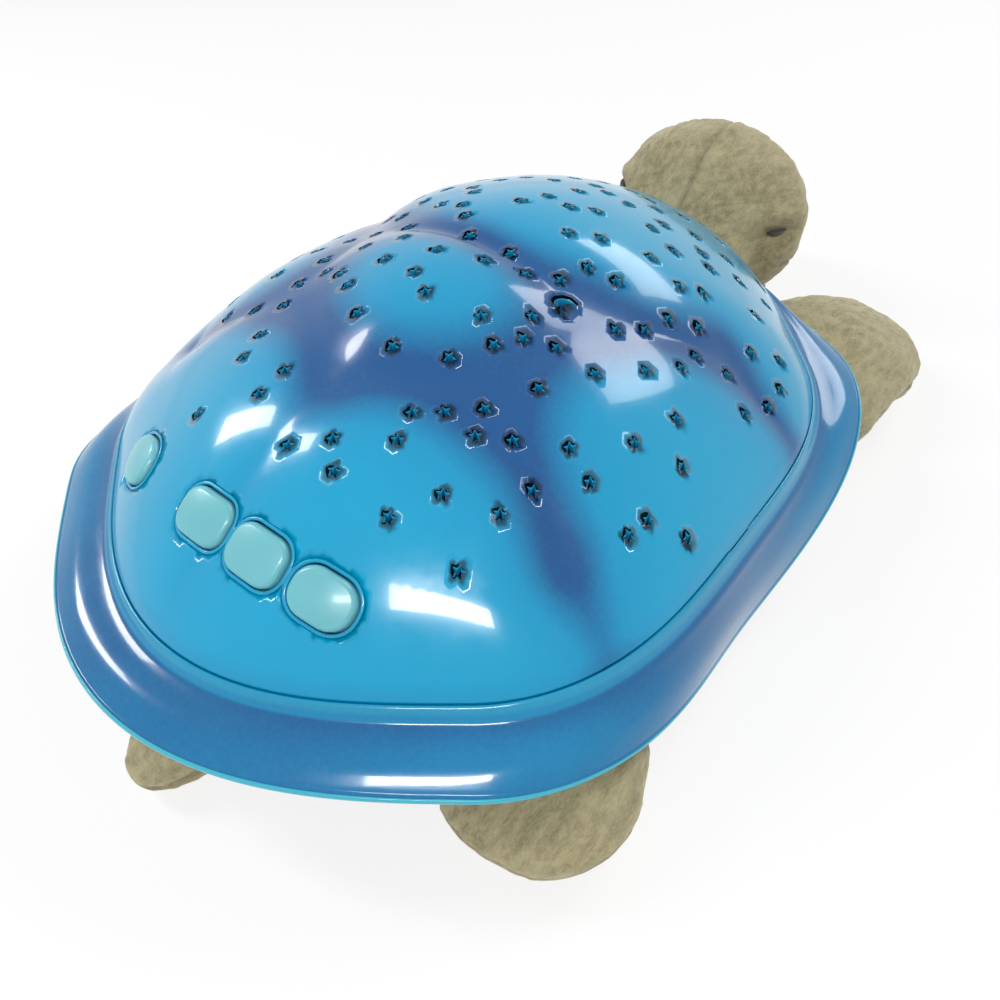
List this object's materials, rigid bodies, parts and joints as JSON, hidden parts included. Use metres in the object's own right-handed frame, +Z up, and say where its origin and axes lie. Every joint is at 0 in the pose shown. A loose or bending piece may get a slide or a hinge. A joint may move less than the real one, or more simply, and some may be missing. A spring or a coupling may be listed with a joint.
{
  "type": "star night light projector",
  "caption": "Turtle-shaped night light: star-cut plastic shell with buttons over a lamp unit, on a stuffed plush body.",
  "frame": {"origin": "on the floor under the middle of the bounding box", "axes": "+Z up, -Y towards the head, the toy's right side is -X"},
  "size_m": [0.24, 0.3796, 0.1022],
  "materials": {
    "shell_plastic": "glossy blue moulded shell, darker in the grooves and skirt",
    "button_plastic": "satin pale aqua",
    "tray_plastic": "fine-textured grey white",
    "screw_steel": "zinc plated",
    "contact_steel": "nickel plated",
    "board_laminate": "green solder mask",
    "switch_plastic": "black moulded",
    "plunger_plastic": "ivory moulded",
    "cell_jacket": "plain printed film jacket",
    "lamp_blue_lens": "clear tinted epoxy",
    "lamp_green_lens": "clear tinted epoxy",
    "lamp_amber_lens": "clear tinted epoxy",
    "plush_fabric": "short-pile olive beige plush",
    "eye_thread": "dark embroidery thread"
  },
  "bodies": {
    "root": {"star_shell": "shell_plastic", "base_tray": "tray_plastic", "shell_screws": "screw_steel", "main_board_screws": "screw_steel", "button_board_screws": "screw_steel", "main_board": "board_laminate", "button_board": "board_laminate", "timer_chip": "switch_plastic", "smoothing_capacitor": "switch_plastic", "lamp_tower": "tray_plastic", "lamp_blue": "lamp_blue_lens", "lamp_green": "lamp_green_lens", "lamp_amber": "lamp_amber_lens", "plush_body": "plush_fabric", "plush_head": "plush_fabric", "plush_tail": "plush_fabric", "plush_front_flipper_right": "plush_fabric", "plush_front_flipper_left": "plush_fabric", "plush_rear_flipper_right": "plush_fabric", "plush_rear_flipper_left": "plush_fabric", "eye_right": "eye_thread", "eye_left": "eye_thread", "battery_left": "cell_jacket", "battery_spring_left": "contact_steel", "contact_plate_left": "contact_steel", "battery_centre": "cell_jacket", "battery_spring_centre": "contact_steel", "contact_plate_centre": "contact_steel", "battery_right": "cell_jacket", "battery_spring_right": "contact_steel", "contact_plate_right": "contact_steel", "switch_power": "switch_plastic", "switch_left": "switch_plastic", "switch_centre": "switch_plastic", "switch_right": "switch_plastic"},
    "battery_door": {"battery_door": "tray_plastic", "door_screw": "screw_steel"},
    "button_power": {"button_power": "button_plastic", "plunger_power": "plunger_plastic"},
    "button_left": {"button_left": "button_plastic", "plunger_left": "plunger_plastic"},
    "button_centre": {"button_centre": "button_plastic", "plunger_centre": "plunger_plastic"},
    "button_right": {"button_right": "button_plastic", "plunger_right": "plunger_plastic"}
  },
  "joints": [
    {"name": "button_power_press", "type": "slide", "parent": "root", "child": "button_power", "axis": [0, -0.5664, -0.8241], "range_m": [0, 0.0012], "stiffness_N_per_m": 900, "springref_m": -0.0006},
    {"name": "button_left_press", "type": "slide", "parent": "root", "child": "button_left", "axis": [0, -0.5664, -0.8241], "range_m": [0, 0.0012], "stiffness_N_per_m": 900, "springref_m": -0.0006},
    {"name": "button_centre_press", "type": "slide", "parent": "root", "child": "button_centre", "axis": [0, -0.5664, -0.8241], "range_m": [0, 0.0012], "stiffness_N_per_m": 900, "springref_m": -0.0006},
    {"name": "button_right_press", "type": "slide", "parent": "root", "child": "button_right", "axis": [0, -0.5664, -0.8241], "range_m": [0, 0.0012], "stiffness_N_per_m": 900, "springref_m": -0.0006},
    {"name": "battery_door_hinge", "type": "hinge", "parent": "root", "child": "battery_door", "pos_m": [0, 0.00442, 0.0045], "axis": [-1, 0, 0], "range_deg": [0, 75]}
  ]
}
